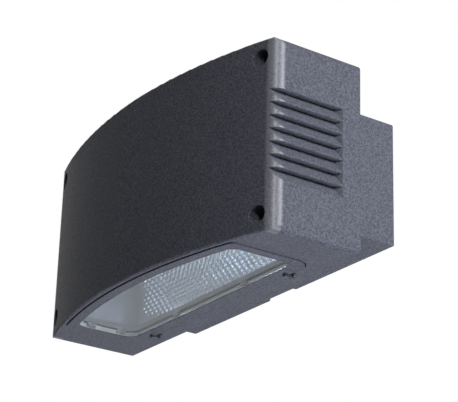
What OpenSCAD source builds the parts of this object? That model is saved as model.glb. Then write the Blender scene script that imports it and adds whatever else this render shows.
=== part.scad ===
// Outdoor wall light with a bowed, fully shielded front, a hinged lens door
// underneath and a wall box behind.
// The wall is the plane y = 0 and the light stands out from it towards -Y, with +Z up.
// The origin is the centre of the wall box's back face.

/* [Housing] */
// Width of the housing across its two flat sides
housing_w = 404; // [380:1:460]
// Height of the housing
housing_h = 194; // [184:1:230]
// Depth of the flat sides, from the wall box to the front corners
side_d = 99; // [95:1:120]
// How far the curved front bulges past the front corners
bow = 34.5; // [30:0.5:44]
// Wall of the housing casting
wall_t = 3.5; // [3:0.25:4.25]
// Radius of the long side edges
edge_r = 6; // [4.5:0.5:9]
// Radius of the upright front corners
corner_r = 12.5; // [9:0.5:14]
// Radius along the curved upper and lower edges of the front
brow_r = 2; // [1:0.25:3]

/* [Cover screws] */
// Distance of each cover screw from the side and from the top or bottom
screw_inset = 18; // [17:0.5:19]
// Bore of the deep recess that each cover screw sits in
recess_d = 18; // [15:0.5:20]
// Depth of the recess behind the line of the front corners
recess_deep = 30; // [22:1:36]
// Thread of the cover screws
cover_screw_d = 6; // [5:0.5:7]
// Length of thread that a cover screw has in its post
cover_grip = 14; // [8:1:20]

/* [Side louvres] */
// Number of louvres in each side
louvre_n = 7; // [3:1:8]
// Distance from one louvre to the next
louvre_pitch = 13.25; // [10:0.25:13.5]
// Upper edge of the first louvre below the top of the housing
louvre_drop = 53; // [45:0.5:60]
// Depth of a louvre at its upper edge
louvre_deep = 7; // [4:0.5:9]
// Flat band between one louvre and the next
louvre_land = 1.5; // [1:0.25:3]
// Distance from the rear end of the louvres to the rear edge of the side
louvre_stop = 21; // [15:1:30]
// Length over which a louvre runs out at its rear end
louvre_run = 7; // [4:0.5:12]

/* [Wall box] */
// How far the wall box stands in from each side of the housing
box_inset = 30.5; // [28:0.5:40]
// Height of the wall box
box_h = 128; // [118:1:140]
// Height of the wall box's bottom above the housing's bottom
box_raise = 32.5; // [26:0.5:36]
// Distance from the wall to the back of the housing
box_d = 67; // [64:1:80]
// Walls of the wall box
box_t = 4; // [3:0.25:5]
// Radius of the wall box's edges along the wall
box_r = 3; // [2:0.5:6]
// Centre of the notch in the lower rear edge
notch_x = -9; // [-60:1:60]
// Width of the notch
notch_w = 48; // [30:1:70]
// Depth of the notch, out from the wall
notch_d = 6; // [3:0.5:9]
// Height of the notch
notch_h = 10; // [5:0.5:14]
// Distance between the wall screw holes, side to side
hole_span_x = 312; // [308:1:316]
// Distance between the wall screw holes, up and down
hole_span_z = 40; // [24:1:60]
// Wall screw hole
wall_hole_d = 7; // [5:0.5:9]
// Supply hole in the back of the wall box
supply_d = 22; // [18:0.5:28]

/* [Back plate] */
// Thickness of the back plate
plate_t = 3; // [2:0.25:4]
// Thickness of the gasket between the wall box and the back plate
gasket_t = 2; // [1.5:0.25:3]
// Diameter of the posts that take the cover screws
post_d = 14; // [12:0.5:16]
// Thread of the screws that hold the back plate to the wall box
box_screw_d = 5; // [4:0.5:6]

/* [Lens door] */
// Flat edge of the housing's underside at each side of the door opening
door_margin = 48.5; // [46:0.5:56]
// Distance from the back of the housing to the door opening
door_back = 18; // [15:0.5:22]
// Lip of the underside that stands in from the front wall, along the door opening
lip_w = 0.5; // [0.25:0.25:1.5]
// Gap round the door
door_gap = 1.25; // [1:0.25:2]
// How far the door stands below the underside
door_proud = 1; // [1:0.25:3]
// Height of the door frame
door_t = 10; // [9.5:0.25:12]
// Radius of the door's front corners
door_r = 6; // [4:0.5:9]
// Radius of the door's rear corners
door_rear_r = 14; // [8:0.5:18]
// Width of the frame along the front of the window
frame_front = 9.75; // [8:0.25:12]
// Width of the frame at the two ends of the window
frame_end = 9.75; // [9.75:0.25:14]
// Width of the frame along the rear of the window
frame_rear = 14; // [12:0.5:18]
// Corner radius of the window
window_r = 13; // [9:0.5:16]
// Thickness of the ledge that carries the glass
ledge_t = 1.25; // [1:0.25:3.5]
// Width of the ledge under the edge of the glass
ledge_w = 3; // [2:0.25:3.25]
// Thickness of the glass
glass_t = 5; // [4:0.25:6]
// Thickness of the seal under the glass
seal_t = 0.75; // [0.5:0.25:1.5]

/* [Hinge] */
// Distance of each hinge from the middle of the door
hinge_x = 118; // [60:1:130]
// Radius of the hinge knuckles
knuckle_r = 2; // [1.8:0.05:2.5]
// Diameter of the hinge pins
pin_d = 1.8; // [1.5:0.1:2]
// Width of the door's knuckle
knuckle_w = 4; // [3:0.5:10]
// Width of each ear on the housing
ear_w = 2; // [1.5:0.25:6]

/* [Reflector] */
// Radius of the reflector's curved back
reflector_r = 64; // [60:1:66]
// Height of the straight rim under the curved back
rim_h = 20; // [14:1:26]
// Sheet of the reflector
sheet_t = 1.2; // [0.8:0.1:1.6]
// Slope of the reflector's ends from upright
end_slope = 20; // [10:1:25]

/* [Lamp] */
// Height of the lamp's axis above the housing's bottom
lamp_up = 55; // [50:1:60]
// Distance of the lamp's axis behind the line of the front corners
lamp_back = 16; // [14:1:20]
// Diameter of the lamp's glass
lamp_d = 38; // [30:1:42]
// Length of the lamp's glass
lamp_l = 122; // [100:1:150]
// Diameter of the lamp's screw base
base_d = 26; // [24:0.5:27]
// Diameter of the lampholder
holder_d = 38; // [34:1:40]
// Length of the lampholder
holder_l = 46; // [40:1:48]

/* [Gear] */
// Width of the gear tray
tray_w = 290; // [280:1:300]
// Height of the gear tray
tray_h = 96; // [90:1:100]
// Height of the pads that carry the gear tray
pad_h = 6.5; // [5:0.5:8]
// Width of the ballast's steel core
core_w = 76; // [66:1:84]
// Height of the ballast's steel core
core_h = 62; // [54:1:70]
// Thickness of the ballast's steel core
core_t = 23; // [16:1:26]
// Diameter of the capacitor
can_d = 40; // [34:1:42]
// Length of the capacitor
can_l = 88; // [70:1:96]

/* [Hidden] */
$fn = 64;

// Running clearance of pieces that drop into one another
fit = 0.3;
// Overlap that makes two parts of one casting merge, and what a cutter stands past a face
merge = 1;

// Planes of the housing
half_w = housing_w / 2;
rear_y = -box_d;
corner_y = rear_y - side_d;
front_y = corner_y - bow;
floor_z = -box_h / 2 - box_raise;
top_z = floor_z + housing_h;
// Circle of the bowed front
bow_r = (half_w * half_w + bow * bow) / (2 * bow);
bow_cy = front_y + bow_r;
// How far a corner's circle stands past the bow, so that the two cross and don't just touch
cross = 0.005;
// Angle that covers the whole front from the centre of the bow
bow_half_angle = asin(half_w / bow_r) + 4;
// How far a body under the bow is drawn behind the housing, for what trims it there
ring_spare = 60;
ring_depth = bow + side_d + ring_spare;
inner_r = edge_r - wall_t + 0.5;

// Cover screws, their bosses and their posts
screw_x = half_w - screw_inset;
screw_zs = [floor_z + screw_inset, top_z - screw_inset];
boss_r = screw_inset - wall_t + 0.5;
recess_y = corner_y + recess_deep;
boss_floor = 8;
boss_y = recess_y + boss_floor;
screw_clear = 0.3;
seal_h = 1.5;
cover_head_d = 11;
cover_head_h = 6;
hex_d = 5.5;
hex_deep = 3.5;

// Louvres
louvre_h = louvre_pitch - louvre_land;
louvre_top = top_z - louvre_drop;
louvre_end_y = rear_y - louvre_stop;

// Wall box
box_w = housing_w - 2 * box_inset;
box_front_y = rear_y + gasket_t;
box_inner_r = 3;
gasket_edge = 2;
box_boss_r = 6;
box_boss_x = box_w / 2 - box_t - box_boss_r + merge;
box_boss_z = box_h / 2 - box_t - box_boss_r + merge;
box_thread = 14;
pad_r = 6;
pad_x = tray_w / 2 - 12;
pad_z = tray_h / 2 - 10;

// Back plate
plate_y = rear_y - plate_t;
plate_hw = half_w - wall_t - fit;
plate_z0 = floor_z + wall_t + fit;
plate_z1 = top_z - wall_t - fit;
grommet_x = -40;
grommet_drop = 22;
grommet_z = box_h / 2 - grommet_drop;
grommet_r = 7;

// Lens door, from the bow inwards
open_hw = half_w - door_margin;
open_rear = rear_y - door_back;
open_off = wall_t + lip_w;
door_off = open_off + door_gap;
door_hw = open_hw - door_gap;
door_rear = open_rear - door_gap;
door_z = floor_z - door_proud;
door_top = door_z + door_t;
window_off = door_off + frame_front;
window_hw = door_hw - frame_end;
window_rear = door_rear - frame_rear;
glass_off = window_off - ledge_w;
glass_hw = window_hw + ledge_w;
glass_rear = window_rear + ledge_w;
ledge_z = door_z + ledge_t;
glass_z = ledge_z + seal_t;
glass_top = glass_z + glass_t;
frame_edge_r = 0.8;
gasket_w = 1.8;
gasket_in = 0.5;
clip_t = 1.2;
clip_w = 10;
clip_reach = 2.6;
clip_head_h = 1;
clip_head_r = 1.8;
clip_screw_r = 1.25;
clip_rim = 2.3;
side_clip_front = 16;
side_clip_rear = 17;
side_clip_ys = [corner_y + side_clip_front, glass_rear - side_clip_rear];
rear_clip_xs = [-60, 60];

// Hinge line, just behind and below the door's rear edge
hinge_y = door_rear + knuckle_r + 1.5;
hinge_z = floor_z - knuckle_r - 0.3;
ear_gap = 0.3;

// Reflector flange, which is also the stop of the door
flange_z = door_top + door_t / 4;
flange_t = 1.5;
flange_top = flange_z + flange_t;
flange_rear = rear_y - plate_t - 5;
throat = 0.5;

// Latch prongs on the door and their springs on the flange
prong_x = glass_hw + 2.2;
prong_t = 1.6;
prong_y = corner_y;
prong_w = 8;
prong_h = 13;
slot_swing = 2.7;
spring_t = 0.8;
spring_leaf = 9;

// Reflector
reflector_off = window_off - 1.5;
reflector_hw = window_hw + 2.5;
reflector_y = window_rear + 2 - reflector_r;
reflector_z = flange_top + rim_h;
reflector_turn = 112;
reflector_h = rim_h + reflector_r + sheet_t;

// Brackets from the back plate to the flange
bracket_x = 100;
bracket_w = 26;
bracket_h = 26;
bracket_t = 1.5;
bracket_foot = 16;

// Lamp and lampholder
lamp_y = corner_y + lamp_back;
lamp_z = floor_z + lamp_up;
holder_x = -reflector_hw + (lamp_z - flange_top) * tan(end_slope) + 6;
shell_t = 0.6;
base_l = 24;
neck_l = 16;
cone_l = 12;
holder_wall_x = holder_x - holder_l;
holder_plate_t = 1.8;

// Screws of the brackets and of the gear tray
small_screw_r = 2;
small_head_r = 3.5;
small_head_h = 2.4;
small_tip = 1.5;

// Gear in the wall box
tray_y = -box_t - pad_h;
tray_t = 1.5;
gear_y = tray_y - tray_t;
core_x = -95;
coil_out = 10.5;
core_y = gear_y - coil_out - 1.5;
coil_w = 46;
leg_w = 20;
window_w = 15;
yoke_h = 12;
can_x = 92;
can_z = 27;
can_y = gear_y - can_d / 2 - 1;
band_t = 1;
band_w = 14;
ignitor_size = [58, 30, 34];
ignitor_x = 92;
ignitor_z = -27;
block_size = [44, 18, 20];
block_z = 32;
ground_z = -36;
lead_r = 1.4;
lead_bend_r = 6;
lead_gap = 2.2;
lead_inset = 14;

// The axis that was Z becomes X, and a turn from X to Y becomes one from Y to Z
module along_x() rotate(a = 120, v = [1, 1, 1]) children();
// The axis that was Z becomes -Y, pointing out from the wall
module outward(p) translate(p) rotate([90, 0, 0]) children();
module both_sides() {
    children();
    mirror([1, 0, 0]) children();
}
module rounded_square(size, r) {
    translate([r, 0]) square([size[0] - 2 * r, size[1]]);
    translate([0, r]) square([size[0], size[1] - 2 * r]);
    for (x = [r, size[0] - r], y = [r, size[1] - r]) translate([x, y]) circle(r);
}

// Waste outside a round front corner, between the side and the bow
module bow_corner_waste(off, hw, r) {
    arc_r = bow_r - off;
    reach = arc_r - r + cross;
    c = [hw - r, bow_cy - sqrt(pow(reach, 2) - pow(hw - r, 2))];
    out = (c - [0, bow_cy]) / reach;
    touch = c + r * out;
    corner = bow_cy - sqrt(pow(arc_r, 2) - pow(hw, 2));
    difference() {
        polygon([c, [hw, c[1]], [hw + merge, c[1]], [hw + merge, corner - merge],
            touch + merge * out, touch]);
        translate(c) circle(r, $fn = 48);
    }
}
module square_corner_waste(hw, y, r) {
    difference() {
        translate([hw - r, y - r]) square(r + merge);
        translate([hw - r, y - r]) circle(r, $fn = 48);
    }
}
// Plan of a piece that follows the bow: off behind the front, hw wide each way
module bowed_plan(off, hw, rear, r, r_rear) {
    difference() {
        intersection() {
            translate([0, bow_cy]) circle(bow_r - off, $fn = 720);
            translate([-hw, front_y - merge]) square([2 * hw, rear - front_y + merge]);
        }
        both_sides() bow_corner_waste(off, hw, r);
        if (r_rear > 0) both_sides() square_corner_waste(hw, rear, r_rear);
    }
}
module bowed_slab(off, hw, rear, r, r_rear, z0, z1) {
    translate([0, 0, z0]) linear_extrude(z1 - z0) bowed_plan(off, hw, rear, r, r_rear);
}
// Waste that rounds the upright front corners of a body under the bow
module bow_corners(off, hw, r, z0, z1) {
    translate([0, 0, z0 - merge]) linear_extrude(z1 - z0 + 2 * merge)
        both_sides() bow_corner_waste(off, hw, r);
}
// Turns a section drawn at its distance from the centre of the bow along the whole front
module along_bow() {
    translate([0, bow_cy, 0]) rotate([0, 0, -90 - bow_half_angle])
        rotate_extrude(angle = 2 * bow_half_angle, $fn = 720) children();
}
// Body under the bowed front with square edges
module square_bow(off, z0, z1) {
    along_bow() translate([bow_r - off - ring_depth, z0]) square([ring_depth, z1 - z0]);
}
// Body under the bowed front with its two outer edges rounded by r
module round_bow(off, z0, z1, r) {
    outer = bow_r - off;
    along_bow() {
        translate([outer - ring_depth, z0]) square([ring_depth - r, z1 - z0]);
        translate([outer - r, z0 + r]) square([r, z1 - z0 - 2 * r]);
        for (z = [z0 + r, z1 - r]) intersection() {
            translate([outer - r, z]) circle(r, $fn = 32);
            translate([outer - r, z - r]) square([r, 2 * r]);
        }
    }
}
// Prism along Y with a rounded X-Z section
module rounded_prism(hw, z0, z1, r, y0, y1) {
    translate([0, y1, 0]) rotate([90, 0, 0]) linear_extrude(y1 - y0)
        translate([-hw, z0]) rounded_square([2 * hw, z1 - z0], r);
}
module at_cover_screws(y) {
    for (z = screw_zs) both_sides() outward([screw_x, y, z]) children();
}

// Waste that leaves one louvre: deep at its top, level with the side at its foot
module louvre_cut(z) {
    deep_x = half_w - louvre_deep;
    slope = louvre_run / louvre_deep;
    intersection() {
        translate([0, louvre_end_y + merge, 0]) rotate([90, 0, 0])
            linear_extrude(louvre_end_y + merge - front_y)
                polygon([[half_w + merge, z], [deep_x, z], [half_w, z - louvre_h],
                    [half_w + merge, z - louvre_h]]);
        translate([0, 0, z - louvre_h - merge]) linear_extrude(louvre_h + 2 * merge)
            polygon([[deep_x - merge, front_y - merge], [half_w + 2 * merge, front_y - merge],
                [half_w + 2 * merge, louvre_end_y + 2 * merge * slope],
                [deep_x - merge, louvre_end_y - louvre_run - merge * slope]]);
    }
}
// Slant across the hollow's upright front corners, which keeps the wall thick behind their arcs
module hollow_corner_waste() {
    slant = 0.4 * corner_r;
    hw = half_w - wall_t;
    y = bow_cy - sqrt(pow(bow_r - wall_t, 2) - pow(hw, 2));
    polygon([[hw + merge, y + slant + merge], [hw - 2 * slant, y - slant], [hw + merge, y - slant]]);
}
module housing_hollow() {
    pad_hw = half_w - louvre_deep - wall_t;
    pad_z0 = louvre_top - louvre_n * louvre_pitch - wall_t;
    difference() {
        intersection() {
            square_bow(wall_t, floor_z, top_z);
            rounded_prism(half_w - wall_t, floor_z + wall_t, top_z - wall_t, inner_r,
                front_y, rear_y + merge);
        }
        translate([0, 0, floor_z]) linear_extrude(housing_h) both_sides() hollow_corner_waste();
        both_sides() translate([pad_hw, front_y, pad_z0])
            cube([half_w - pad_hw, louvre_end_y + wall_t - front_y, louvre_top + wall_t - pad_z0]);
        at_cover_screws(boss_y) cylinder(r = boss_r, h = boss_y - front_y);
    }
}
module hinge_ear() {
    translate([0, hinge_y, hinge_z]) along_x() cylinder(r = knuckle_r, h = ear_w);
    translate([0, open_rear, hinge_z])
        cube([ear_w, hinge_y + knuckle_r - open_rear, floor_z + merge - hinge_z]);
}
module front_housing() {
    color([0.27, 0.28, 0.31]) difference() {
        union() {
            difference() {
                intersection() {
                    round_bow(0, floor_z, top_z, brow_r);
                    rounded_prism(half_w, floor_z, top_z, edge_r, front_y - merge, rear_y);
                }
                bow_corners(0, half_w, corner_r, floor_z, top_z);
                housing_hollow();
                bowed_slab(open_off, open_hw, open_rear, door_r + door_gap, door_rear_r + door_gap,
                    floor_z - merge, floor_z + wall_t + merge);
            }
            both_sides() for (x = [hinge_x - knuckle_w / 2 - ear_gap - ear_w,
                hinge_x + knuckle_w / 2 + ear_gap]) translate([x, 0, 0]) hinge_ear();
        }
        at_cover_screws(recess_y) cylinder(d = recess_d, h = recess_y - front_y + merge);
        at_cover_screws(boss_y + merge)
            cylinder(d = cover_screw_d + 2 * screw_clear, h = boss_floor + 2 * merge);
        both_sides() for (i = [0 : louvre_n - 1]) louvre_cut(louvre_top - i * louvre_pitch);
        translate([-half_w, hinge_y, hinge_z]) along_x() cylinder(d = pin_d + 0.1, h = housing_w);
    }
}
module cover_screws() {
    color([0.62, 0.63, 0.65]) at_cover_screws(recess_y - seal_h) difference() {
        union() {
            cylinder(d = cover_head_d, h = cover_head_h);
            translate([0, 0, -seal_h - boss_floor - cover_grip])
                cylinder(d = cover_screw_d, h = seal_h + boss_floor + cover_grip);
        }
        translate([0, 0, cover_head_h - hex_deep]) cylinder(d = hex_d, h = hex_deep + merge, $fn = 6);
    }
}
module cover_screw_seals() {
    color([0.12, 0.12, 0.12]) at_cover_screws(recess_y) difference() {
        cylinder(d = recess_d - 2, h = seal_h);
        translate([0, 0, -merge]) cylinder(d = cover_screw_d + 2 * screw_clear, h = seal_h + 2 * merge);
    }
}

module at_box_screws(y) {
    for (z = [-box_boss_z, box_boss_z]) both_sides() outward([box_boss_x, y, z]) children();
}
module back_plate() {
    color([0.55, 0.56, 0.58]) difference() {
        union() {
            rounded_prism(plate_hw, plate_z0, plate_z1, inner_r, plate_y, rear_y);
            at_cover_screws(rear_y - merge) cylinder(d = post_d, h = rear_y - merge - boss_y);
        }
        at_cover_screws(boss_y + cover_grip + 2)
            cylinder(d = cover_screw_d + 0.2, h = cover_grip + 2 + merge);
        at_box_screws(rear_y + merge) cylinder(d = box_screw_d + 2 * screw_clear, h = plate_t + 2 * merge);
        outward([grommet_x, rear_y + merge, grommet_z]) cylinder(r = grommet_r, h = plate_t + 2 * merge);
    }
}
module box_screws() {
    head_r = box_screw_d * 0.9;
    head_h = box_screw_d * 0.6;
    color([0.7, 0.7, 0.72]) at_box_screws(plate_y) difference() {
        union() {
            cylinder(r = head_r, h = head_h);
            translate([0, 0, -plate_t - gasket_t - box_thread + 2])
                cylinder(d = box_screw_d, h = plate_t + gasket_t + box_thread - 2);
        }
        translate([-head_r, -0.5, head_h / 2]) cube([2 * head_r, 1, head_h]);
    }
}
module box_gasket() {
    hw = box_w / 2 - gasket_edge;
    hh = box_h / 2 - gasket_edge;
    color([0.1, 0.1, 0.11]) difference() {
        rounded_prism(hw, -hh, hh, box_inner_r, rear_y, box_front_y);
        difference() {
            rounded_prism(hw - box_t, box_t - hh, hh - box_t, box_inner_r,
                rear_y - merge, box_front_y + merge);
            at_box_screws(box_front_y + 2 * merge) cylinder(r = box_boss_r, h = gasket_t + 4 * merge);
        }
        at_box_screws(box_front_y + merge)
            cylinder(d = box_screw_d + 2 * screw_clear, h = gasket_t + 2 * merge);
    }
}
module wall_box() {
    color([0.27, 0.28, 0.31]) difference() {
        union() {
            difference() {
                intersection() {
                    translate([0, 0, -box_h / 2]) linear_extrude(box_h)
                        translate([-box_w / 2, 0]) mirror([0, 1]) difference() {
                            square([box_w, -box_front_y]);
                            difference() {
                                square(box_r);
                                translate([box_r, box_r]) circle(box_r, $fn = 48);
                            }
                            translate([box_w - box_r, 0]) difference() {
                                square(box_r);
                                translate([0, box_r]) circle(box_r, $fn = 48);
                            }
                        }
                    translate([-box_w / 2, 0, -box_h / 2]) along_x() linear_extrude(box_w)
                        mirror([1, 0]) difference() {
                            square([-box_front_y, box_h]);
                            difference() {
                                square(box_r);
                                translate([box_r, box_r]) circle(box_r, $fn = 48);
                            }
                            translate([0, box_h - box_r]) difference() {
                                square(box_r);
                                translate([box_r, 0]) circle(box_r, $fn = 48);
                            }
                        }
                }
                rounded_prism(box_w / 2 - box_t, box_t - box_h / 2, box_h / 2 - box_t, box_inner_r,
                    box_front_y - merge, -box_t);
            }
            at_box_screws(-merge) cylinder(r = box_boss_r, h = -box_front_y - merge);
            for (x = [-pad_x, pad_x], z = [-pad_z, pad_z])
                outward([x, -merge, z]) cylinder(r = pad_r, h = box_t + pad_h - merge);
        }
        at_box_screws(box_front_y + box_thread) cylinder(d = box_screw_d + 0.2, h = box_thread + merge);
        for (x = [-pad_x, pad_x], z = [-pad_z, pad_z])
            outward([x, tray_y + pad_h, z]) cylinder(r = small_screw_r + 0.1, h = pad_h + merge);
        for (x = [-hole_span_x / 2, hole_span_x / 2], z = [-hole_span_z / 2, hole_span_z / 2])
            outward([x, merge, z]) cylinder(d = wall_hole_d, h = box_t + 2 * merge);
        outward([0, merge, 0]) cylinder(d = supply_d, h = box_t + 2 * merge);
        translate([notch_x - notch_w / 2, -notch_d, -box_h / 2 - merge])
            cube([notch_w, notch_d + merge, notch_h + merge]);
    }
}
module supply_bushing() {
    lip = 3;
    color([0.13, 0.13, 0.14]) outward([0, 0, 0]) difference() {
        union() {
            cylinder(d = supply_d - 0.2, h = box_t + lip);
            translate([0, 0, box_t]) cylinder(d = supply_d + 2 * lip, h = lip);
        }
        translate([0, 0, -merge]) cylinder(d = supply_d - 6, h = box_t + lip + 2 * merge);
    }
}
module lead_grommet() {
    lip = 2;
    color([0.13, 0.13, 0.14]) outward([grommet_x, rear_y + lip, grommet_z]) difference() {
        union() {
            cylinder(r = grommet_r - 0.1, h = plate_t + 2 * lip);
            for (z = [0, plate_t + lip]) translate([0, 0, z]) cylinder(r = grommet_r + lip, h = lip);
        }
        translate([0, 0, -merge]) cylinder(r = grommet_r - 2.5, h = plate_t + 2 * lip + 2 * merge);
    }
}

// Door
module door_blank() {
    difference() {
        intersection() {
            round_bow(door_off, door_z, door_top, frame_edge_r / 2);
            translate([0, door_rear, 0]) rotate([90, 0, 0]) linear_extrude(door_rear - front_y)
                translate([-door_hw, door_z])
                    rounded_square([2 * door_hw, door_t + 2 * frame_edge_r], frame_edge_r);
            translate([-half_w, 0, 0]) along_x() linear_extrude(housing_w) union() {
                translate([front_y, door_z])
                    square([door_rear - frame_edge_r - front_y, door_t + merge]);
                translate([front_y, door_z + frame_edge_r])
                    square([door_rear - front_y, door_t + merge - frame_edge_r]);
                translate([door_rear - frame_edge_r, door_z + frame_edge_r])
                    circle(frame_edge_r, $fn = 48);
            }
        }
        bow_corners(door_off, door_hw, door_r, door_z, door_top);
        translate([0, 0, door_z - merge]) linear_extrude(door_t + 2 * merge)
            both_sides() square_corner_waste(door_hw, door_rear, door_rear_r);
    }
}
module door_frame() {
    arm_z = hinge_z - knuckle_r + 0.4;
    arm_hold = 6;
    color([0.27, 0.28, 0.31]) difference() {
        union() {
            difference() {
                door_blank();
                bowed_slab(window_off, window_hw, window_rear, window_r, window_r,
                    door_z - merge, door_top + merge);
                bowed_slab(glass_off - fit, glass_hw + fit, glass_rear + fit, window_r, window_r,
                    ledge_z, door_top + merge);
            }
            both_sides() translate([hinge_x - knuckle_w / 2, 0, 0]) {
                translate([0, hinge_y, hinge_z]) along_x() cylinder(r = knuckle_r, h = knuckle_w);
                translate([0, door_rear - arm_hold, arm_z])
                    cube([knuckle_w, hinge_y - door_rear + arm_hold, floor_z - 0.5 - arm_z]);
            }
        }
        translate([-half_w, hinge_y, hinge_z]) along_x() cylinder(d = pin_d + 0.3, h = housing_w);
        at_clip_screws(door_top - 4) cylinder(r = clip_screw_r + 0.1, h = 5);
    }
}
module door_glass() {
    color([0.75, 0.82, 0.85, 0.5]) bowed_slab(glass_off, glass_hw, glass_rear, window_r, window_r,
        glass_z, glass_top);
}
module glass_seal() {
    color([0.75, 0.75, 0.72]) difference() {
        bowed_slab(glass_off, glass_hw, glass_rear, window_r, window_r, ledge_z, glass_z);
        bowed_slab(window_off, window_hw, window_rear, window_r, window_r,
            ledge_z - merge, glass_z + merge);
    }
}
module at_clip_screws(z) {
    for (y = side_clip_ys) both_sides() translate([glass_hw + clip_rim, y, z]) children();
    for (x = rear_clip_xs) translate([x, glass_rear + clip_rim, z]) children();
}
// A clip at the origin of its screw, with its foot towards -X
module glass_clip(step) {
    difference() {
        union() {
            translate([-clip_rim - clip_reach, -clip_w / 2, 0])
                cube([clip_rim + clip_reach + clip_head_r, clip_w, clip_t]);
            translate([-clip_rim - clip_reach, -clip_w / 2, -step])
                cube([clip_reach - fit, clip_w, step + clip_t]);
        }
        translate([0, 0, -merge]) cylinder(r = clip_screw_r + 0.1, h = clip_t + 2 * merge);
    }
}
module glass_clips() {
    color([0.75, 0.76, 0.78]) {
        for (y = side_clip_ys) both_sides()
            translate([glass_hw + clip_rim, y, door_top]) glass_clip(door_top - glass_top);
        for (x = rear_clip_xs) translate([x, glass_rear + clip_rim, door_top])
            rotate([0, 0, 90]) glass_clip(door_top - glass_top);
    }
}
module clip_screws() {
    color([0.6, 0.6, 0.62]) at_clip_screws(door_top + clip_t) difference() {
        union() {
            cylinder(r = clip_head_r, h = clip_head_h);
            translate([0, 0, -clip_t - 3]) cylinder(r = clip_screw_r, h = clip_t + 3);
        }
        translate([-clip_head_r, -0.3, clip_head_h / 2]) cube([2 * clip_head_r, 0.6, clip_head_h]);
    }
}
module door_gasket() {
    in0 = gasket_in;
    in1 = gasket_in + gasket_w;
    color([0.1, 0.1, 0.11]) difference() {
        bowed_slab(door_off + in0, door_hw - in0, door_rear - in0, door_r - in0, door_rear_r - in0,
            door_top, flange_z - fit);
        bowed_slab(door_off + in1, door_hw - in1, door_rear - in1, door_r - in1, door_rear_r - in1,
            door_top - merge, flange_z);
    }
}
module latch_prongs() {
    color([0.75, 0.76, 0.78]) both_sides() {
        translate([prong_x - prong_t / 2, prong_y, door_top]) cube([prong_t, prong_w, prong_h]);
        translate([prong_x - prong_t / 2, prong_y, door_top]) cube([prong_t + 1.2, prong_w, 1]);
    }
}
module latch_springs() {
    x0 = prong_x + prong_t / 2 + 0.4;
    color([0.8, 0.8, 0.82]) both_sides() {
        translate([x0, prong_y, flange_top]) cube([spring_t, prong_w, spring_leaf]);
        translate([x0, prong_y, flange_top]) cube([spring_leaf, prong_w, spring_t]);
    }
}
module hinge_pins() {
    grip = knuckle_w / 2 + ear_gap + ear_w;
    head = 0.8;
    color([0.78, 0.79, 0.8]) both_sides() translate([hinge_x - grip, hinge_y, hinge_z]) along_x() {
        cylinder(d = pin_d, h = 2 * grip + head);
        translate([0, 0, 2 * grip]) cylinder(r = knuckle_r - 0.5, h = head);
        translate([0, 0, -head]) cylinder(r = knuckle_r - 0.5, h = head);
    }
}

// Reflector
module reflector_flange() {
    color([0.7, 0.71, 0.72]) difference() {
        bowed_slab(wall_t + fit + 0.2, door_hw + 8, flange_rear, door_r, door_r, flange_z, flange_top);
        bowed_slab(window_off - throat, window_hw + throat, window_rear + throat, window_r, window_r,
            flange_z - merge, flange_top + merge);
        both_sides() translate([prong_x - prong_t / 2 - 0.5, prong_y - slot_swing, flange_z - merge])
            cube([prong_t + 1, prong_w + slot_swing + 0.5, flange_t + 2 * merge]);
        at_bracket_screws(flange_z - merge) cylinder(r = small_screw_r + 0.1, h = flange_t + 2 * merge);
    }
}
// Solid inside the front panel, reaching back past the trough
module before_front(off) {
    translate([0, bow_cy, flange_top]) cylinder(r = bow_r - off, h = reflector_h + merge, $fn = 720);
}
// Upright prism whose two ends lean inwards as the reflector's ends do
module between_ends(extra) {
    lean = (reflector_h + merge) * tan(end_slope);
    hw = reflector_hw + extra;
    translate([0, rear_y, flange_top]) rotate([90, 0, 0]) linear_extrude(rear_y - front_y)
        polygon([[-hw, 0], [hw, 0], [hw - lean, reflector_h + merge], [-hw + lean, reflector_h + merge]]);
}
module trough_section(grow) {
    r = reflector_r + grow;
    translate([reflector_y, reflector_z - rim_h]) {
        translate([0, rim_h]) circle(r, $fn = 256);
        translate([-r, 0]) square([2 * r, rim_h]);
    }
}
module reflector_trough() {
    color([0.85, 0.87, 0.88]) intersection() {
        before_front(reflector_off);
        between_ends(0);
        translate([-reflector_hw, 0, 0]) union() {
            translate([0, reflector_y, reflector_z]) along_x()
                rotate_extrude(angle = reflector_turn, $fn = 256)
                    translate([reflector_r, 0]) square([sheet_t, 2 * reflector_hw]);
            translate([0, reflector_y + reflector_r, flange_top])
                cube([2 * reflector_hw, sheet_t, rim_h]);
        }
    }
}
module reflector_front() {
    color([0.85, 0.87, 0.88]) intersection() {
        difference() {
            before_front(reflector_off);
            translate([0, 0, -merge]) before_front(reflector_off + sheet_t);
        }
        between_ends(0);
        translate([-reflector_hw, 0, 0]) along_x() linear_extrude(2 * reflector_hw) intersection() {
            trough_section(-0.1);
            translate([front_y, flange_top]) square([corner_y + side_d / 2 - front_y, reflector_h]);
        }
    }
}
module reflector_ends() {
    side = sheet_t / cos(end_slope);
    color([0.8, 0.82, 0.83]) difference() {
        intersection() {
            difference() {
                between_ends(side);
                translate([0, merge, 0]) between_ends(0);
            }
            before_front(reflector_off);
            translate([-half_w, 0, 0]) along_x() linear_extrude(housing_w) trough_section(sheet_t);
        }
        translate([-half_w, lamp_y, lamp_z]) along_x() cylinder(d = holder_d + 1.5, h = half_w);
    }
}
module at_bracket_screws(z) {
    both_sides() translate([bracket_x, flange_rear - bracket_foot / 2, z]) children();
}
module reflector_brackets() {
    front = flange_rear - bracket_foot;
    color([0.7, 0.71, 0.72]) difference() {
        both_sides() translate([bracket_x - bracket_w / 2, 0, flange_top]) {
            translate([0, front, 0]) cube([bracket_w, plate_y - front, bracket_t]);
            translate([0, plate_y - bracket_t, 0]) cube([bracket_w, bracket_t, bracket_h]);
        }
        at_bracket_screws(flange_top - merge) cylinder(r = small_screw_r + 0.1, h = bracket_t + 2 * merge);
    }
}
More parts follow.
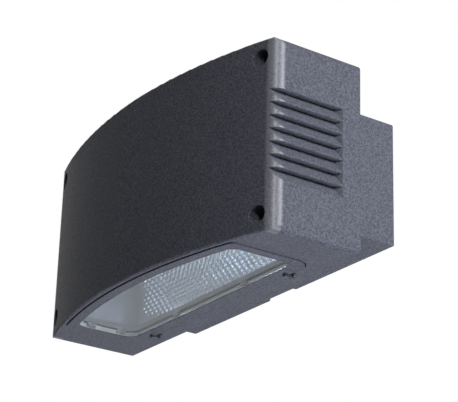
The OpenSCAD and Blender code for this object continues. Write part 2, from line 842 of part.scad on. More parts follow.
module bracket_screws() {
    color([0.7, 0.7, 0.72]) at_bracket_screws(flange_top + bracket_t) {
        cylinder(r = small_head_r, h = small_head_h);
        translate([0, 0, -bracket_t - flange_t]) cylinder(r = small_screw_r, h = bracket_t + flange_t);
    }
}

// Lamp
module lamp_axis(x) {
    translate([x, lamp_y, lamp_z]) along_x() children();
}
module lampholder() {
    color([0.92, 0.91, 0.88]) lamp_axis(holder_wall_x) difference() {
        cylinder(d = holder_d, h = holder_l);
        translate([0, 0, holder_l - base_l - 4]) cylinder(d = base_d + 2 * shell_t + 0.6, h = base_l + 5);
    }
}
module holder_shell() {
    color([0.75, 0.68, 0.45]) lamp_axis(holder_x - base_l - 4) difference() {
        cylinder(d = base_d + 2 * shell_t + 0.6, h = base_l);
        translate([0, 0, 1]) cylinder(d = base_d + 0.4, h = base_l);
    }
}
module lamp_base() {
    color([0.75, 0.75, 0.72]) lamp_axis(holder_x - base_l - 3) {
        cylinder(r = 5, h = 3);
        translate([0, 0, 2]) cylinder(d = base_d, h = base_l + 1);
    }
}
module lamp_glass() {
    r = lamp_d / 2;
    t = 1.2;
    full = neck_l + cone_l;
    color([0.9, 0.93, 0.95, 0.5]) lamp_axis(holder_x) rotate_extrude($fn = 96) difference() {
        union() {
            square([base_d / 2 - 1, neck_l]);
            polygon([[0, neck_l - 2], [base_d / 2 - 1, neck_l - 2], [r, full], [0, full]]);
            translate([0, full]) square([r, lamp_l - full - r]);
            intersection() {
                translate([0, lamp_l - r]) circle(r);
                square([r, lamp_l]);
            }
        }
        translate([0, full]) square([r - t, lamp_l - full - r]);
        intersection() {
            translate([0, lamp_l - r]) circle(r - t);
            translate([0, lamp_l - r]) square([r, r]);
        }
    }
}
module lamp_arc_tube() {
    start = holder_x + neck_l + cone_l;
    tube_r = 5.5;
    tube_l = 50;
    tube_start = 12;
    stem_r = 1.2;
    stem_end = 4;
    color([0.93, 0.92, 0.9]) {
        lamp_axis(start) cylinder(r = stem_r, h = lamp_l - neck_l - cone_l - stem_end);
        lamp_axis(start + tube_start) cylinder(r = tube_r, h = tube_l);
    }
}
module holder_bracket() {
    x1 = holder_wall_x;
    x0 = x1 - holder_plate_t;
    below = 9;
    tall = 25;
    past = 15;
    foot = 20;
    color([0.7, 0.71, 0.72]) translate([x0, 0, lamp_z - below]) {
        translate([0, lamp_y - past, 0]) cube([holder_plate_t, plate_y - lamp_y + past, tall]);
        translate([0, plate_y - holder_plate_t, 0]) cube([foot, holder_plate_t, tall]);
    }
}

// Gear
module gear_tray() {
    color([0.72, 0.73, 0.74]) difference() {
        translate([-tray_w / 2, gear_y, -tray_h / 2]) cube([tray_w, tray_t, tray_h]);
        for (x = [-pad_x, pad_x], z = [-pad_z, pad_z])
            outward([x, tray_y + merge, z]) cylinder(r = small_screw_r + 0.2, h = tray_t + 2 * merge);
        outward([0, tray_y + merge, 0]) cylinder(d = supply_d + 8, h = tray_t + 2 * merge);
    }
}
module tray_screws() {
    color([0.7, 0.7, 0.72]) for (x = [-pad_x, pad_x], z = [-pad_z, pad_z]) outward([x, gear_y, z]) {
        cylinder(r = small_head_r, h = small_head_h);
        translate([0, 0, small_tip - tray_t - pad_h])
            cylinder(r = small_screw_r, h = tray_t + pad_h - small_tip);
    }
}
module ballast_core() {
    color([0.3, 0.31, 0.33]) translate([core_x - core_w / 2, core_y - core_t, -core_h / 2]) difference() {
        cube([core_w, core_t, core_h]);
        for (side = [-1, 1]) translate([core_w / 2 + side * (leg_w + window_w) / 2 - window_w / 2,
            -merge, yoke_h]) cube([window_w, core_t + 2 * merge, core_h - 2 * yoke_h]);
    }
}
module ballast_coil() {
    gap = 0.5;
    h = core_h - 2 * yoke_h - 2 * gap;
    color([0.45, 0.24, 0.12]) translate([core_x, core_y - core_t / 2, -h / 2]) difference() {
        linear_extrude(h) translate([-coil_w / 2, -core_t / 2 - coil_out])
            rounded_square([coil_w, core_t + 2 * coil_out], 7);
        translate([-leg_w / 2 - gap, -core_t / 2 - gap, -merge])
            cube([leg_w + 2 * gap, core_t + 2 * gap, h + 2 * merge]);
    }
}
module ballast_feet() {
    color([0.72, 0.73, 0.74]) for (side = [-1, 1]) {
        x = core_x + side * (core_w / 2 - 5) - 5;
        translate([x, core_y, -core_h / 2]) cube([10, gear_y - core_y, core_h]);
    }
}
module capacitor() {
    color([0.72, 0.73, 0.75]) translate([can_x - can_l / 2, can_y, can_z]) along_x() {
        cylinder(d = can_d, h = can_l);
        translate([0, 0, -4]) cylinder(d = can_d - 4, h = 4);
        for (side = [-1, 1]) translate([side * 8 - 3, -0.5, -12]) cube([6, 1, 9]);
    }
}
module capacitor_clamp() {
    color([0.7, 0.71, 0.72]) translate([can_x - band_w / 2, can_y, can_z]) difference() {
        union() {
            along_x() cylinder(d = can_d + 2 * fit + 2 * band_t, h = band_w);
            translate([0, gear_y - can_y - 1.5, -can_d / 2 - 6]) cube([band_w, 1.5, can_d + 12]);
        }
        translate([-merge, 0, 0]) along_x() cylinder(d = can_d + 0.2, h = band_w + 2 * merge);
        translate([-merge, gear_y - can_y, -can_d]) cube([band_w + 2 * merge, can_d, 2 * can_d]);
    }
}
module ignitor() {
    color([0.16, 0.16, 0.18]) {
        translate([ignitor_x - ignitor_size[0] / 2, gear_y - ignitor_size[1], ignitor_z - ignitor_size[2] / 2])
            cube(ignitor_size);
        translate([ignitor_x - ignitor_size[0] / 2 - 8, gear_y - 3, ignitor_z - 8])
            cube([ignitor_size[0] + 16, 3, 16]);
    }
}
module terminal_block() {
    poles = 3;
    pole_w = block_size[0] / poles;
    color([0.9, 0.89, 0.85]) translate([-block_size[0] / 2, gear_y - block_size[1], block_z]) difference() {
        cube(block_size);
        for (i = [0 : poles - 1]) translate([(i + 0.5) * pole_w, 0, block_size[2] / 2]) {
            for (z = [-5, 5]) outward([0, 6, z]) cylinder(d = 5, h = 8);
            translate([0, 10, -block_size[2]]) cylinder(d = 4, h = 2 * block_size[2]);
        }
    }
}
module ground_screw() {
    color([0.2, 0.5, 0.25]) outward([0, gear_y, ground_z]) difference() {
        cylinder(d = 9, h = 4, $fn = 6);
        translate([-5, -0.6, 2.4]) cube([10, 1.2, 2]);
    }
}
// Two leads from the terminal block through the grommet to the top of the lampholder
module lead_bend() rotate_extrude(angle = 90, $fn = 48) translate([lead_bend_r, 0]) circle(lead_r, $fn = 24);
module lead_run(p, turn, length) translate(p) rotate(turn) cylinder(r = lead_r, h = length, $fn = 24);
module lamp_lead(side) {
    z = grommet_z + side * lead_gap;
    x0 = -block_size[0] / 2;
    x1 = grommet_x;
    x2 = holder_wall_x + lead_inset - side * lead_gap;
    y0 = gear_y - block_size[1] / 2;
    y1 = lamp_y;
    holder_top = lamp_z + holder_d / 2;
    lead_run([x0, y0, z], [0, -90, 0], x0 - x1 - lead_bend_r);
    translate([x1 + lead_bend_r, y0 - lead_bend_r, z]) rotate([0, 0, 90]) lead_bend();
    lead_run([x1, y0 - lead_bend_r, z], [90, 0, 0], y0 - y1 - 2 * lead_bend_r);
    translate([x1 - lead_bend_r, y1 + lead_bend_r, z]) rotate([0, 0, -90]) lead_bend();
    lead_run([x1 - lead_bend_r, y1, z], [0, -90, 0], x1 - x2 - 2 * lead_bend_r);
    translate([x2 + lead_bend_r, y1, z - lead_bend_r]) rotate([90, 0, 0]) rotate([0, 0, 90]) lead_bend();
    lead_run([x2, y1, holder_top], [0, 0, 0], z - lead_bend_r - holder_top);
}
module lamp_leads() color([0.85, 0.84, 0.8]) for (side = [-1, 1]) lamp_lead(side);

front_housing();
cover_screws();
cover_screw_seals();
back_plate();
box_screws();
box_gasket();
wall_box();
supply_bushing();
lead_grommet();
door_frame();
door_glass();
glass_seal();
glass_clips();
clip_screws();
door_gasket();
latch_prongs();
latch_springs();
hinge_pins();
reflector_flange();
reflector_trough();
reflector_front();
reflector_ends();
reflector_brackets();
bracket_screws();
lampholder();
holder_shell();
holder_bracket();
lamp_glass();
lamp_base();
lamp_arc_tube();
gear_tray();
tray_screws();
ballast_core();
ballast_coil();
ballast_feet();
capacitor();
capacitor_clamp();
ignitor();
terminal_block();
ground_screw();
lamp_leads();
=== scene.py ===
import math

import bpy
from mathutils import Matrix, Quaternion, Vector


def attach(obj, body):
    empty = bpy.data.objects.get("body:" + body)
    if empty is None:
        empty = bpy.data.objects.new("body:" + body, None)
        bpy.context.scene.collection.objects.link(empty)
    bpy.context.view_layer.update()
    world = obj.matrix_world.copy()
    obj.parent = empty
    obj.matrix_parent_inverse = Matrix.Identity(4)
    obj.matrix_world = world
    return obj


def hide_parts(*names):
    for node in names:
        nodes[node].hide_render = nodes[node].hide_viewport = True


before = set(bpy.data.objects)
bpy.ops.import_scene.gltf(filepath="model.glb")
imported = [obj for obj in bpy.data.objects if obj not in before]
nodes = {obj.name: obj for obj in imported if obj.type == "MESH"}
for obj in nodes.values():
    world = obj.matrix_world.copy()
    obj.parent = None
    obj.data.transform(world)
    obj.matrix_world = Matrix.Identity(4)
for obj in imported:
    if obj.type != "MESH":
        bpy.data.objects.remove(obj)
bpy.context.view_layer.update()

MM = 0.001
WHITE = (1.0, 1.0, 1.0, 1.0)
SEEN_BY = ("Is Camera Ray", "Is Glossy Ray", "Is Transmission Ray")


def opaque(colour):
    """A colour of three numbers with its fourth added. Anything else stays as it is."""
    return (*colour, 1) if isinstance(colour, tuple) and len(colour) == 3 else colour


class Value:
    """One output of a node. Arithmetic on it adds Math nodes beside it."""

    def __init__(self, owner, socket):
        self.owner = owner
        self.socket = socket

    def work(self, operation, *terms):
        return self.owner.node("ShaderNodeMath", {"operation": operation}, dict(enumerate(terms)))

    def __add__(self, other):
        return self.work("ADD", self, other)

    __radd__ = __add__

    def __sub__(self, other):
        return self.work("SUBTRACT", self, other)

    def __rsub__(self, other):
        return self.work("SUBTRACT", other, self)

    def __mul__(self, other):
        return self.work("MULTIPLY", self, other)

    __rmul__ = __mul__

    def __truediv__(self, other):
        return self.work("DIVIDE", self, other)

    def at_most(self, other):
        return self.work("MINIMUM", self, other)

    def at_least(self, other):
        return self.work("MAXIMUM", self, other)


class Nodes:
    """The nodes of a material or of the world, all made by one method."""

    def __init__(self, tree):
        self.tree = tree

    def node(self, kind, settings=None, inputs=None, out=0):
        """Adds a node with its settings first, then the values or links of its sockets."""
        made = self.tree.nodes.new(kind)
        for name, value in (settings or {}).items():
            if name == "stops":
                self.stop_ramp(made.color_ramp, value)
            else:
                setattr(made, name, value)
        for name, value in (inputs or {}).items():
            self.feed(made.inputs[name], value)
        return Value(self, made.outputs[out])

    def stop_ramp(self, ramp, stops):
        while len(ramp.elements) < len(stops):
            ramp.elements.new(0.5)
        for element, (place, shade) in zip(ramp.elements, stops):
            element.position = place
            element.color = (shade, shade, shade, 1)

    def feed(self, socket, value):
        if isinstance(value, Value):
            self.tree.links.new(value.socket, socket)
        else:
            socket.default_value = value

    def in_view(self):
        """1 for what the camera sees straight on, in a reflection or through glass, else 0."""
        rays = [self.node("ShaderNodeLightPath", out=ray) for ray in SEEN_BY]
        return rays[0].at_least(rays[1]).at_least(rays[2])


class Finish(Nodes):
    """A material: one shader with its fixed values, and the nodes that vary it."""

    def __init__(self, name, **fixed):
        self.material = bpy.data.materials.new(name)
        self.material.use_nodes = True
        super().__init__(self.material.node_tree)
        self.shader = self.tree.nodes["Principled BSDF"]
        self.set(**fixed)
        self.spot = self.node("ShaderNodeTexCoord", out="Object")

    def set(self, **sockets):
        """Sets the shader's sockets, with _ for a space in their names."""
        for name, value in sockets.items():
            self.feed(self.shader.inputs[name.replace("_", " ")], opaque(value))

    def noise(self, size, detail=2.0, rough=0.5, spot=None):
        """Cloudy noise from 0 to 1, with lumps about size metres across."""
        return self.node(
            "ShaderNodeTexNoise",
            None,
            {"Vector": spot or self.spot, "Scale": 1 / size, "Detail": detail, "Roughness": rough},
        )

    def cells(self, size):
        """Flat patches about size metres across, each of its own colour."""
        return self.node(
            "ShaderNodeTexVoronoi", None, {"Vector": self.spot, "Scale": 1 / size}, "Color"
        )

    def stretched(self, x, y, z):
        """The spot with its three directions scaled, for marks drawn out along one of them."""
        return self.node(
            "ShaderNodeVectorMath", {"operation": "MULTIPLY"}, {0: self.spot, 1: (x, y, z)}
        )

    def ramp(self, value, *stops):
        """The value remapped through stops of (place, result)."""
        return self.node("ShaderNodeValToRGB", {"stops": stops}, {0: value})

    def blend(self, share, first, second):
        """Mixes two colours."""
        return self.node(
            "ShaderNodeMix",
            {"data_type": "RGBA"},
            {0: share, 6: opaque(first), 7: opaque(second)},
            2,
        )

    def stained(self, first, second):
        """Multiplies two colours."""
        return self.node(
            "ShaderNodeMix",
            {"data_type": "RGBA", "blend_type": "MULTIPLY"},
            {0: 1.0, 6: first, 7: second},
            2,
        )

    def bump(self, height, depth, strength=1.0, under=None):
        """A relief of the height, depth metres deep, over another one where under is given."""
        inputs = {"Height": height, "Distance": depth, "Strength": strength}
        if under:
            inputs["Normal"] = under
        return self.node("ShaderNodeBump", None, inputs)


def put_on(finish, *names):
    """Puts the finish on the CAD nodes of these names."""
    for name in names:
        for held in nodes[name].material_slots:
            held.material = finish.material


# Finishes. Sizes here are in metres.

CORNER_START = 0.191    # The upright front corners start this far out from the middle,
CORNER_BACK = -0.155    # and end at this depth.
CORNER_FADE = 0.003


def powder_coat():
    """Grey-black powder coat with a fine, hard grain and a slight orange peel."""
    coat = Finish("powder_coat", Specular_IOR_Level=0.01, Coat_Roughness=0.42)
    grain = coat.noise(0.0019, 3.0, 0.6)
    peel = coat.noise(0.0045, 1.0)
    cloud = coat.noise(0.09, 3.0, 0.6)
    fleck = coat.ramp(grain, (0.36, 0.0), (0.66, 1.0))
    body = coat.blend(fleck, (0.056, 0.058, 0.070), (0.116, 0.120, 0.146))
    tone = coat.blend(cloud, (0.90, 0.90, 0.91), (1.08, 1.08, 1.07))
    coat.set(Base_Color=coat.stained(body, tone))
    coat.set(Roughness=0.28 + 0.10 * grain + 0.04 * cloud)
    coat.set(Normal=coat.bump(grain, 0.0007, 1.0, coat.bump(peel, 0.0003, 0.5)))
    coat.set(Coat_Weight=corner_gloss(coat))
    return coat


def corner_gloss(coat):
    """Share from 0 to 1 of the clear gloss that the upright front corners keep."""
    apart = coat.node("ShaderNodeSeparateXYZ", None, {0: coat.spot}, "X")
    back = coat.node("ShaderNodeSeparateXYZ", None, {0: coat.spot}, "Y")
    outside = (apart.work("ABSOLUTE", apart) - CORNER_START) / CORNER_FADE
    ahead = (CORNER_BACK - back) / CORNER_FADE
    return outside.at_least(0.0).at_most(1.0) * ahead.at_least(0.0).at_most(1.0)


def hammered_sheet():
    """Bright hammered sheet, with a painted highlight: the dents' deepest parts are coloured paler
    than the ridges between them, standing in for the glint each dent reflects.
    """
    sheet = Finish("hammered_aluminium", Metallic=1.0)
    cloud = sheet.noise(0.03, 3.0)
    depth = sheet.node("ShaderNodeAttribute", {"attribute_name": "depth"}, None, "Fac")
    ridge = sheet.blend(cloud, (0.83, 0.87, 0.91), (0.88, 0.91, 0.94))
    # Painted highlight: the deepest part of each dent is coloured paler, standing in for its
    # glint.
    painted_glint = sheet.ramp(depth, (0.25, 0.0), (0.75, 1.0))
    sheet.set(Base_Color=sheet.blend(painted_glint, ridge, (0.97, 0.98, 1.0)))
    sheet.set(Roughness=0.09 + 0.04 * cloud)
    sheet.set(Normal=sheet.bump(sheet.noise(0.0009), 0.00002, 0.4))
    return sheet


def rolled_sheet(name, colour, rough, along):
    """Rolled sheet metal, with faint marks drawn out along one direction."""
    sheet = Finish(name, Metallic=1.0)
    marks = sheet.noise(0.0008, 3.0, 0.6, sheet.stretched(*along))
    cloud = sheet.noise(0.05, 3.0)
    dark = tuple(0.86 * c for c in colour)
    sheet.set(Base_Color=sheet.blend(0.5 * marks + 0.5 * cloud, dark, colour))
    sheet.set(Roughness=rough + 0.12 * marks)
    sheet.set(Normal=sheet.bump(marks, 0.00003, 0.5))
    return sheet


def zinc_plate():
    """Zinc plate, with its patchwork of faint crystals."""
    plate = Finish("zinc_steel", Metallic=1.0)
    cloud = plate.noise(0.03, 3.0)
    tone = plate.node("ShaderNodeRGBToBW", None, {0: plate.cells(0.012)})
    shade = 0.6 * tone + 0.4 * cloud
    plate.set(Base_Color=plate.blend(shade, (0.44, 0.45, 0.47), (0.62, 0.63, 0.66)))
    plate.set(Roughness=0.30 + 0.15 * tone)
    plate.set(Normal=plate.bump(plate.noise(0.0015), 0.00003, 0.4))
    return plate


def rubber(name, colour, rough=0.72):
    """Matt rubber with a fine, dusty skin."""
    skin = Finish(name, Specular_IOR_Level=0.35)
    fine = skin.noise(0.0012, 3.0)
    cloud = skin.noise(0.02, 2.0)
    pale = tuple(min(1.0, 1.25 * c + 0.004) for c in colour)
    skin.set(Base_Color=skin.blend(0.6 * cloud + 0.4 * fine, colour, pale))
    skin.set(Roughness=rough + 0.12 * fine)
    skin.set(Normal=skin.bump(fine, 0.0001, 0.5))
    return skin


def clear_glass():
    """Pale blue glass with dust. Its index is low, so that it reflects less of the white."""
    pane = Finish("clear_glass", Transmission_Weight=1.0, IOR=1.18)
    dust = pane.noise(0.02, 3.0, 0.6)
    pane.set(Base_Color=pane.blend(dust, (0.82, 0.89, 0.95), (0.89, 0.95, 1.0)))
    pane.set(Roughness=0.01 + 0.03 * dust)
    return pane


def lamp_envelope():
    """Clear lamp glass with a slight haze."""
    wall = Finish("lamp_envelope", Transmission_Weight=1.0, IOR=1.46)
    haze = wall.noise(0.02, 2.0)
    wall.set(Base_Color=wall.blend(haze, (0.93, 0.95, 0.96), (0.98, 0.99, 1.0)))
    wall.set(Roughness=0.02 + 0.04 * haze)
    return wall


def glazed(name, colour, rough):
    """Glazed or fired ceramic."""
    body = Finish(name, Coat_Roughness=0.08)
    cloud = body.noise(0.012, 3.0)
    speck = body.ramp(body.noise(0.0009, 1.0), (0.70, 0.0), (0.76, 1.0))
    dull = tuple(0.88 * c for c in colour)
    body.set(Base_Color=body.blend(0.4 * cloud + 0.3 * speck, colour, dull))
    body.set(Roughness=rough + 0.1 * cloud, Coat_Weight=0.5 + 0.3 * cloud)
    body.set(Normal=body.bump(body.noise(0.006), 0.0002, 0.4))
    return body


def moulded(name, colour, rough=0.5):
    """Moulded or dyed surface with a fine grain."""
    body = Finish(name, Specular_IOR_Level=0.4)
    fine = body.noise(0.0008, 2.0)
    cloud = body.noise(0.03, 2.0)
    pale = tuple(min(1.0, 1.15 * c + 0.004) for c in colour)
    body.set(Base_Color=body.blend(cloud, colour, pale))
    body.set(Roughness=rough + 0.12 * fine)
    body.set(Normal=body.bump(fine, 0.00006, 0.5))
    return body


def laminations():
    """Edges of stacked steel sheets under varnish."""
    core = Finish("core_steel", Metallic=0.6)
    layers = core.node(
        "ShaderNodeTexWave",
        {"wave_type": "BANDS", "bands_direction": "Y", "wave_profile": "SAW"},
        {"Vector": core.spot, "Scale": 320.0, "Distortion": 0.4, "Detail": 1.0},
    )
    cloud = core.noise(0.02, 3.0)
    shade = 0.5 * layers + 0.5 * cloud
    core.set(Base_Color=core.blend(shade, (0.05, 0.05, 0.055), (0.14, 0.13, 0.13)))
    core.set(Roughness=0.35 + 0.2 * layers)
    core.set(Normal=core.bump(layers, 0.0003, 0.6))
    return core


def winding():
    """Enamelled copper turns under varnish."""
    coil = Finish("copper_winding", Metallic=0.5, Coat_Roughness=0.15)
    turns = coil.node(
        "ShaderNodeTexWave",
        {"wave_type": "BANDS", "bands_direction": "Z"},
        {"Vector": coil.spot, "Scale": 300.0, "Distortion": 0.6, "Detail": 1.0},
    )
    cloud = coil.noise(0.01, 3.0)
    shade = 0.5 * turns + 0.5 * cloud
    coil.set(Base_Color=coil.blend(shade, (0.20, 0.06, 0.02), (0.52, 0.24, 0.09)))
    coil.set(Roughness=0.30 + 0.2 * cloud, Coat_Weight=0.4 + 0.2 * cloud)
    coil.set(Normal=coil.bump(turns, 0.0005, 0.8))
    return coil


hammered = hammered_sheet()
bright = rolled_sheet("bright_aluminium", (0.17, 0.20, 0.24), 0.45, (1, 12, 12))
stainless = rolled_sheet("stainless", (0.62, 0.62, 0.64), 0.24, (1, 9, 1))
put_on(powder_coat(), "front_housing", "wall_box", "door_frame")
put_on(stainless, "cover_screws", "clip_screws", "hinge_pins", "glass_clips",
       "latch_prongs", "latch_springs")
put_on(zinc_plate(), "box_screws", "bracket_screws", "tray_screws", "reflector_brackets",
       "holder_bracket", "gear_tray", "ballast_feet", "capacitor_clamp")
put_on(bright, "back_plate", "reflector_flange", "reflector_ends")
put_on(rubber("black_rubber", (0.020, 0.020, 0.022)), "cover_screw_seals", "box_gasket",
       "supply_bushing", "lead_grommet", "door_gasket")
pale_seal = rubber("silicone", (0.62, 0.62, 0.60), 0.5)
put_on(pale_seal, "glass_seal")
put_on(rubber("lead_sleeve", (0.70, 0.69, 0.65), 0.5), "lamp_leads")
glass = clear_glass()
put_on(glass, "door_glass")
put_on(lamp_envelope(), "lamp_glass")
put_on(glazed("porcelain", (0.85, 0.83, 0.78), 0.25), "lampholder")
put_on(glazed("arc_ceramic", (0.90, 0.89, 0.86), 0.35), "lamp_arc_tube")
put_on(rolled_sheet("shell_brass", (0.72, 0.62, 0.42), 0.28, (12, 1, 1)), "holder_shell")
put_on(rolled_sheet("base_metal", (0.66, 0.65, 0.62), 0.26, (12, 1, 1)), "lamp_base")
put_on(rolled_sheet("can_aluminium", (0.68, 0.69, 0.71), 0.24, (1, 10, 10)), "capacitor")
put_on(laminations(), "ballast_core")
put_on(winding(), "ballast_coil")
put_on(moulded("moulded_black", (0.030, 0.030, 0.034)), "ignitor")
put_on(moulded("terminal_white", (0.80, 0.79, 0.74)), "terminal_block")
put_on(moulded("ground_green", (0.05, 0.22, 0.07), 0.3), "ground_screw")


# Hammered reflector. Sizes of pieces are in millimetres.

BOW_R = 608.6123        # The housing's bowed front, and the middle of its arc
BOW_CY = 408.1123
PANEL_R = BOW_R - 13.5
FLANGE_TOP = -83.5      # The trough rises straight from the flange to the rim,
RIM_TOP = -63.5         # then round the lamp's axis.
AXIS_Y = -162.25
TROUGH_R = 64.0
HALF_WIDTH = 145.0
END_TAN = math.tan(math.radians(20))
SHEET = 1.2
ROW = 9.4               # Two rows of dents up the section, and two columns along the sheet
COLUMN = 8.2
DIMPLE = 0.85           # Depth of a dent below the sheet's plain face
END_FADE = 24           # The dents fade out over this part of the sheet's width
RIM_FADE = 10           # and this part of its section, towards the edges.
SETTLING = 6            # Rounds after which a point's width and height agree


def panel_y(x):
    """Depth of the front panel's outer face."""
    return BOW_CY - math.sqrt(PANEL_R * PANEL_R - x * x)


def end_angle(x):
    """Angle round the trough at which it meets the front panel."""
    return math.acos(max(-1.0, min(1.0, (panel_y(x) + SHEET - AXIS_Y) / TROUGH_R)))


def half_width(z):
    """Half the reflector's width at a height: its ends lean in towards the top."""
    return HALF_WIDTH - (z - FLANGE_TOP) * END_TAN


def dimple(s, t):
    """Share of full depth, from -1 to 1: round dents, each row half a step along from the last."""
    return math.cos(2 * math.pi * s / COLUMN) * math.cos(2 * math.pi * t / ROW)


def trough_spot(x, share):
    """Place on the trough's inner face, the normal into the hollow, and the way up the section."""
    arc = TROUGH_R * end_angle(x)
    rim = RIM_TOP - FLANGE_TOP
    way = share * (rim + arc)
    if way < rim:
        return AXIS_Y + TROUGH_R, FLANGE_TOP + way, (-1.0, 0.0), way
    angle = (way - rim) / TROUGH_R
    return (AXIS_Y + TROUGH_R * math.cos(angle), RIM_TOP + TROUGH_R * math.sin(angle),
            (-math.cos(angle), -math.sin(angle)), way)


def panel_spot(x, share):
    """The same for the front panel, which stands upright."""
    top = RIM_TOP + TROUGH_R * math.sin(end_angle(x))
    z = FLANGE_TOP + share * (top - FLANGE_TOP)
    return panel_y(x) + SHEET, z, (1.0, 0.0), z


def add_piece(name, points, faces, finish):
    """An object made of points in millimetres and faces, with one finish."""
    mesh = bpy.data.meshes.new(name)
    mesh.from_pydata([tuple(MM * c for c in point) for point in points], [], faces)
    mesh.validate()
    mesh.update()
    mesh.materials.append(finish.material)
    piece = bpy.data.objects.new(name, mesh)
    bpy.context.collection.objects.link(piece)
    return piece


def dress(piece, body, node=None):
    """Lets a piece ride on a body, in place of a CAD node or beside them."""
    if node:
        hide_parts(node)
    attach(piece, body)


def hammered_piece(name, spot, columns, rows):
    """A sheet with a dented inner face and a plain back, closed round its edges."""
    inner, outer, depths = [], [], []
    for j in range(rows + 1):
        for i in range(columns + 1):
            side = 2 * i / columns - 1
            share = j / rows
            x = side * HALF_WIDTH
            for _ in range(SETTLING):
                y, z, normal, way = spot(x, share)
                x = side * half_width(z)
            inland = min(1.0, END_FADE * min(i, columns - i) / columns,
                         RIM_FADE * min(j, rows - j) / rows)
            depth = dimple(x, way)
            dent = DIMPLE * depth * inland
            depths.append(depth)
            inner.append((x, y - normal[0] * dent, z - normal[1] * dent))
            outer.append((x, y - normal[0] * SHEET, z - normal[1] * SHEET))
    wide = columns + 1
    count = len(inner)
    faces = []
    for j in range(rows):
        for i in range(columns):
            a = j * wide + i
            faces.append((a, a + 1, a + wide + 1, a + wide))
            faces.append((count + a, count + a + wide, count + a + wide + 1, count + a + 1))
    loop = (list(range(columns))
            + [columns + j * wide for j in range(rows)]
            + [rows * wide + columns - i for i in range(columns)]
            + [(rows - j) * wide for j in range(rows)])
    for a, b in zip(loop, loop[1:] + loop[:1]):
        faces.append((b, a, count + a, count + b))
    piece = add_piece(name, inner + outer, faces, hammered)
    held = piece.data.attributes.new("depth", "FLOAT", "POINT")
    held.data.foreach_set("value", depths + depths)
    for face in piece.data.polygons:
        face.use_smooth = True
    return piece


trough = hammered_piece("hammered_trough", trough_spot, 288, 150)
dress(trough, "light_body", "reflector_trough")
front_panel = hammered_piece("hammered_front", panel_spot, 288, 80)
dress(front_panel, "light_body", "reflector_front")


# Seal channel round the glass, the pressed glass, and the flange's lip round the window

# Distance behind the bow, half width, rear edge and corner radius of an outline
GLASS = (12.0, 145.5, -97.25, 13.0)
WINDOW = (15.0, 142.5, -100.25, 13.0)
# Corners of a section: distance inwards from the outline, and height
SEAL_SECTION = ((-0.25, -96.25), (2.95, -96.25), (2.95, -95.55), (-0.05, -95.55),
                (-0.05, -87.6), (-0.25, -87.6))
LIP_SECTION = ((0.7, -87.0), (1.2, -87.0), (1.2, -83.0), (-1.0, -83.0),
               (-1.0, -83.45), (0.7, -83.45))
GLASS_SECTION = ((0, -90.5), (0, -95.5), (3.3, -95.5), (3.3, -96.95), (3.6, -97.25))
CORNER_STEPS = 12
BOW_STEPS = 80


def turn(centre, radius, start, stop, steps):
    """Points along an arc."""
    for i in range(steps + 1):
        angle = start + (stop - start) * i / steps
        yield centre[0] + radius * math.cos(angle), centre[1] + radius * math.sin(angle)


def bowed_outline(off, wide, rear, radius):
    """Points round an outline under the bow: off behind it, wide each way, back to rear."""
    reach = BOW_R - off - radius
    side = wide - radius
    front = BOW_CY - math.sqrt(reach ** 2 - side ** 2)
    lean = math.atan2(front - BOW_CY, side)
    half = math.pi
    return [
        *turn((side, rear - radius), radius, 0, half / 2, CORNER_STEPS),
        *turn((-side, rear - radius), radius, half / 2, half, CORNER_STEPS),
        *turn((-side, front), radius, half, half - lean, CORNER_STEPS),
        *turn((0, BOW_CY), reach + radius, half - lean, 2 * half + lean, BOW_STEPS),
        *turn((side, front), radius, 2 * half + lean, 2 * half, CORNER_STEPS),
    ]


def bowed_strip(name, outline, section, finish, filled=False):
    """A section swept round an outline, as a ring or as a filled slab."""
    off, wide, rear, radius = outline
    corners = []
    for inwards, z in section:
        loop = bowed_outline(off + inwards, wide - inwards, rear - inwards, radius - inwards)
        corners.append([(x, y, z) for x, y in loop])
    count = len(corners[0])
    faces = []
    for k in range(len(section) - filled):
        after = (k + 1) % len(section)
        for i in range(count):
            j = (i + 1) % count
            faces.append((k * count + i, after * count + i, after * count + j, k * count + j))
    if filled:
        last = (len(section) - 1) * count
        faces += [tuple(range(count)), tuple(range(last + count - 1, last - 1, -1))]
    return add_piece(name, [point for loop in corners for point in loop], faces, finish)


seal = bowed_strip("seal_channel", GLASS, SEAL_SECTION, pale_seal)
dress(seal, "lens_door", "glass_seal")
pane = bowed_strip("pressed_glass", GLASS, GLASS_SECTION, glass, True)
dress(pane, "lens_door", "door_glass")
lip = bowed_strip("flange_lip", WINDOW, LIP_SECTION, bright)
dress(lip, "light_body")


# Floor, light and camera. The floor's size is in millimetres, the rest is in metres.

FLOOR_Z = -2600
FLOOR_REACH = 5000
FLOOR_SHOWN = 0.45      # What the camera, reflections and glass see of the floor, beside its light
DIM = 0.015             # Strength of the world for all that isn't seen

pale = Finish("pale_floor", Roughness=0.9, Specular_IOR_Level=0.1, Emission_Strength=1.0)
pale.set(Base_Color=pale.blend(pale.noise(0.4, 3.0), (0.80, 0.80, 0.80), (0.83, 0.83, 0.83)))
pale.set(Emission_Color=pale.blend(pale.in_view(), (0.0, 0.0, 0.0), (FLOOR_SHOWN,) * 3))
corners = [(FLOOR_REACH * x, FLOOR_REACH * y, FLOOR_Z)
           for x, y in ((-1, -1), (1, -1), (1, 1), (-1, 1))]
add_piece("floor", corners, [(0, 1, 2, 3)], pale)

COOL = (0.91, 0.94, 1.0)
CENTRE = Vector((0, -0.099, 0.0015))


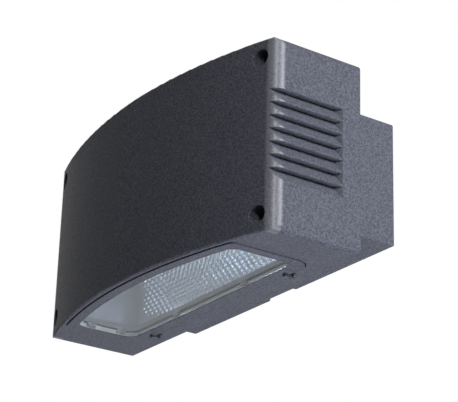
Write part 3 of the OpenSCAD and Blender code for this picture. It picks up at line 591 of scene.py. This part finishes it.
def soft_light(name, way, distance, width, height, power, colour):
    """A soft box that stands off the light in the direction way and faces it."""
    lamp = bpy.data.lights.new(name, "AREA")
    lamp.shape = "RECTANGLE"
    lamp.size, lamp.size_y = width, height
    lamp.energy = power
    lamp.color = colour
    holder = bpy.data.objects.new(name, lamp)
    holder.visible_camera = False
    away = Vector(way).normalized()
    holder.location = CENTRE + away * distance
    holder.rotation_mode = "QUATERNION"
    holder.rotation_quaternion = away.to_track_quat("Z", "Y")
    bpy.context.collection.objects.link(holder)


soft_light("side_light", (0.86, 0.30, 0.42), 2.2, 1.2, 1.2, 58, COOL)
soft_light("under_light", (0.45, 0.20, -0.87), 1.8, 1.2, 1.2, 43, COOL)
soft_light("corner_light", (0.784, -0.498, 0.384), 2.0, 0.24, 0.6, 18, WHITE[:3])

world = bpy.data.worlds.new("studio")
bpy.context.scene.world = world
world.use_nodes = True
sky = Nodes(world.node_tree)
dim = sky.node("ShaderNodeBackground", None, {"Color": WHITE, "Strength": DIM})
white = sky.node("ShaderNodeBackground", None, {"Color": WHITE, "Strength": 1.0})
shown = sky.node("ShaderNodeMixShader", None, {0: sky.in_view(), 1: dim, 2: white})
sky.feed(sky.tree.nodes["World Output"].inputs["Surface"], shown)

# From a camera fitted to the photo's corners and edges
EYE = Vector((1.342142, -0.979818, -0.660871))
AIM = Vector((0.0135207, -0.0874505, 0.0128658))
TILT = math.radians(1.7542)
FOCAL_PIXELS = 1701.56
FRAME_WIDTH = 458
SENSOR_WIDTH = 36
camera_data = bpy.data.cameras.new("camera")
camera_data.sensor_width = SENSOR_WIDTH
camera_data.lens = FOCAL_PIXELS / FRAME_WIDTH * SENSOR_WIDTH
camera = bpy.data.objects.new("camera", camera_data)
camera.location = EYE
camera.rotation_mode = "QUATERNION"
camera.rotation_quaternion = (AIM - EYE).to_track_quat("-Z", "Y") @ Quaternion((0, 0, 1), TILT)
bpy.context.collection.objects.link(camera)
bpy.context.scene.camera = camera

bpy.context.scene.view_settings.view_transform = "Standard"
